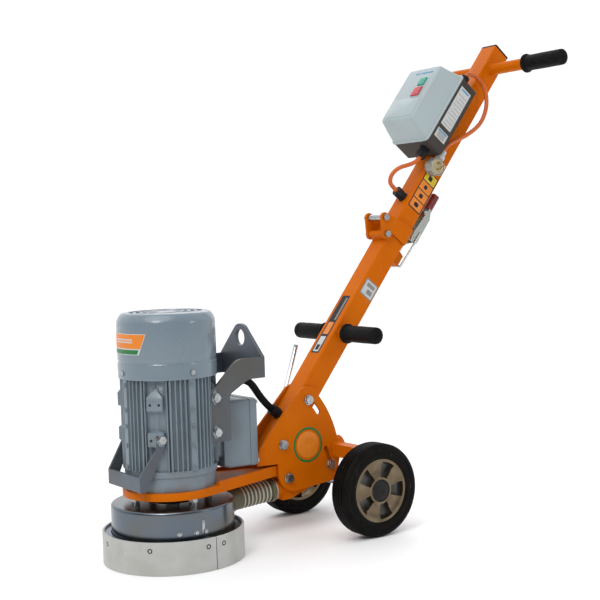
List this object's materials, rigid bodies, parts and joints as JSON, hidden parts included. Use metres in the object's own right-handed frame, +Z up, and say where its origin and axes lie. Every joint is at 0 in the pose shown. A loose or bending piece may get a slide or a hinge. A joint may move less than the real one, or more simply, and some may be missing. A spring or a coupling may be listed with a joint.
{
  "type": "walk-behind floor grinder",
  "caption": "Walk-behind single-disc floor grinder: vertical motor over a shrouded diamond disc, wheeled frame, dust duct, and a folding, tilting mast with a bar handle and starter box.",
  "frame": {"origin": "on the floor, under the middle of the object's overall box", "axes": "+Z up, +X towards the handle and the operator, disc towards -X, wheels' axle along Y"},
  "size_m": [1.1128, 0.503, 1.0974],
  "materials": {
    "orange_paint": "satin powder coat",
    "motor_paint": "satin",
    "fan_cover_paint": "satin",
    "zinc_plate": "zinc plated",
    "yellow_zinc": "yellow passivated",
    "skirt_plastic": "satin",
    "tyre": "matt",
    "rim": "satin",
    "cap_plastic": "satin",
    "black_rubber": "matt",
    "black_plastic": "satin",
    "box_light": "satin",
    "box_grey": "satin",
    "green_button": "gloss",
    "red_button": "gloss",
    "orange_cable": "satin",
    "hose": "satin",
    "chrome": "polished",
    "steel_bolts": "zinc plated",
    "bright_steel": "ground",
    "bracket_paint": "satin",
    "sleeve_plastic": "gloss",
    "copper": "enamelled",
    "core_steel": "laminated",
    "cast_shield": "painted",
    "plug_plastic": "gloss",
    "segment": "sintered"
  },
  "bodies": {
    "chassis": {"side_plates": "orange_paint", "axle_brackets": "orange_paint", "axle": "bright_steel", "pivot_bolts": "steel_bolts"},
    "head": {"head_plate": "orange_paint", "arm_cheeks": "orange_paint", "dust_duct": "orange_paint", "float_stop_bolts": "steel_bolts", "motor_frame": "motor_paint", "drive_end_shield": "cast_shield", "fan_end_shield": "cast_shield", "fan_cover": "fan_cover_paint", "motor_fasteners": "steel_bolts", "terminal_box": "motor_paint", "terminal_lid": "motor_paint", "motor_gland": "black_plastic", "lift_bracket": "bracket_paint", "front_handle": "bracket_paint", "dust_shroud": "zinc_plate", "dust_hose": "hose", "hose_clamps": "steel_bolts", "motor_cable_head": "black_rubber", "stator_core": "core_steel", "stator_windings": "copper", "motor_bearings": "bright_steel"},
    "rotor": {"rotor_shaft": "bright_steel", "rotor_core": "core_steel", "cooling_fan": "black_plastic", "disc_hub": "bright_steel", "grinding_disc": "orange_paint", "diamond_segments": "segment"},
    "skirt": {"skirt_ring": "zinc_plate", "skirt_strips": "skirt_plastic"},
    "wheel_near": {"tyre_near": "tyre", "rim_near": "rim", "hub_cap_near": "cap_plastic"},
    "wheel_far": {"tyre_far": "tyre", "rim_far": "rim", "hub_cap_far": "cap_plastic"},
    "mast_lower": {"lower_mast": "orange_paint", "carry_grips": "black_rubber", "clamp_bolt": "steel_bolts", "mast_foot_gland": "black_plastic", "motor_cable_mast": "black_rubber"},
    "clamp_lever": {"clamp_lever": "chrome"},
    "mast_upper": {"upper_mast": "orange_paint", "fold_bolts": "steel_bolts", "handle_grips": "black_rubber", "latch_base": "yellow_zinc", "starter_base": "box_grey", "starter_cover": "box_light", "cable_glands": "black_plastic", "link_cable": "orange_cable", "supply_cord": "orange_cable", "supply_plug": "plug_plastic"},
    "latch_lever": {"latch_lever": "yellow_zinc", "latch_sleeve": "sleeve_plastic"},
    "latch_loop": {"latch_loop": "yellow_zinc"},
    "start_button": {"start_button": "green_button"},
    "stop_button": {"stop_button": "red_button"}
  },
  "joints": [
    {"name": "arm_float", "type": "hinge", "parent": "chassis", "child": "head", "pos_m": [-0.14414, 0, 0.1274], "axis": [0, -1, 0], "range_deg": [0, 18]},
    {"name": "disc_spin", "type": "hinge", "parent": "head", "child": "rotor", "pos_m": [-0.41244, 0, 0.26], "axis": [0, 0, 1], "continuous": true},
    {"name": "skirt_float", "type": "slide", "parent": "head", "child": "skirt", "axis": [0, 0, 1], "range_m": [0, 0.004]},
    {"name": "wheel_near_spin", "type": "hinge", "parent": "chassis", "child": "wheel_near", "pos_m": [-0.00214, -0.1466, 0.1], "axis": [0, 1, 0], "continuous": true},
    {"name": "wheel_far_spin", "type": "hinge", "parent": "chassis", "child": "wheel_far", "pos_m": [-0.00214, 0.1466, 0.1], "axis": [0, 1, 0], "continuous": true},
    {"name": "mast_tilt", "type": "hinge", "parent": "chassis", "child": "mast_lower", "pos_m": [-0.15644, 0, 0.201], "axis": [0, -1, 0], "range_deg": [-18, 0]},
    {"name": "clamp_lever_turn", "type": "hinge", "parent": "mast_lower", "child": "clamp_lever", "pos_m": [-0.08594, 0.045, 0.29059], "axis": [0, -1, 0], "range_deg": [-40, 30]},
    {"name": "mast_fold", "type": "hinge", "parent": "mast_lower", "child": "mast_upper", "pos_m": [0.14954, 0, 0.64482], "axis": [0, -1, 0], "range_deg": [0, 130]},
    {"name": "latch_lever_turn", "type": "hinge", "parent": "mast_upper", "child": "latch_lever", "pos_m": [0.2449, 0, 0.6334], "axis": [0, 1, 0], "range_deg": [0, 110]},
    {"name": "latch_loop_turn", "type": "hinge", "parent": "latch_lever", "child": "latch_loop", "pos_m": [0.26154, 0, 0.64322], "axis": [0, 1, 0], "range_deg": [-110, 0]},
    {"name": "start_press", "type": "slide", "parent": "mast_upper", "child": "start_button", "axis": [0.7859, 0, -0.6184], "range_m": [0, 0.003], "stiffness_N_per_m": 800},
    {"name": "stop_press", "type": "slide", "parent": "mast_upper", "child": "stop_button", "axis": [0.7859, 0, -0.6184], "range_m": [0, 0.003], "stiffness_N_per_m": 800}
  ],
  "couplings": [
    {"joint": "latch_loop_turn", "follows": "latch_lever_turn", "ratio": -1}
  ]
}
